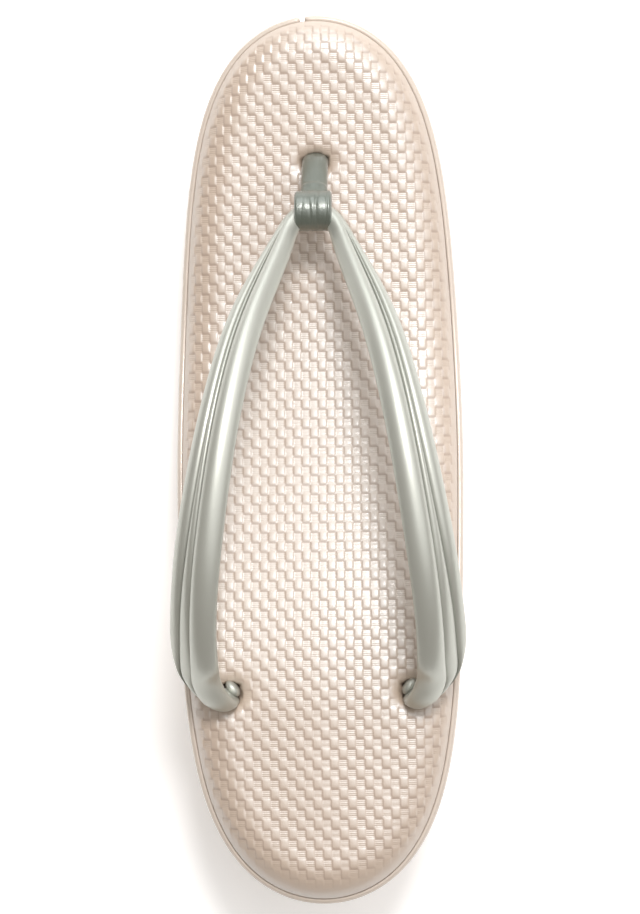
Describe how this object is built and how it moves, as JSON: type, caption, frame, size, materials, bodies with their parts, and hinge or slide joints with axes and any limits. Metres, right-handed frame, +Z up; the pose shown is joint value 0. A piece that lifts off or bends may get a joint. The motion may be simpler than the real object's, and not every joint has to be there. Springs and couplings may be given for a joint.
{
  "type": "zori sandal",
  "caption": "Zori sandal with a wedge sole, a woven-look padded footbed and a V-shaped strap on a toe loop.",
  "frame": {"origin": "on the ground, under the middle of the sole's outline", "axes": "+Z up; +Y along the sole from heel to toe; +X across, to the right of a wearer looking at the toe"},
  "size_m": [0.0762, 0.2348, 0.0845],
  "materials": {
    "outsole_rubber": "matt beige-brown rubber sheet with shallow cross grooves",
    "sole_sheet": "plain pearl-pink coated sheet, fine grain, satin",
    "rim_sheet": "plain pearl-white coated strip, satin",
    "footbed_sheet": "pearl-pink coated sheet embossed as a plain weave, glossy over padding",
    "strap_sheet": "silver-grey satin coated sheet over padding, with two long pleats",
    "loop_sheet": "dark green-grey satin coated sheet, wrinkled lengthwise"
  },
  "bodies": {
    "root": {"outsole": "outsole_rubber", "sole_body": "sole_sheet", "rim_band": "rim_sheet", "footbed_cushion": "footbed_sheet", "strap": "strap_sheet", "toe_loop": "loop_sheet"}
  },
  "joints": []
}
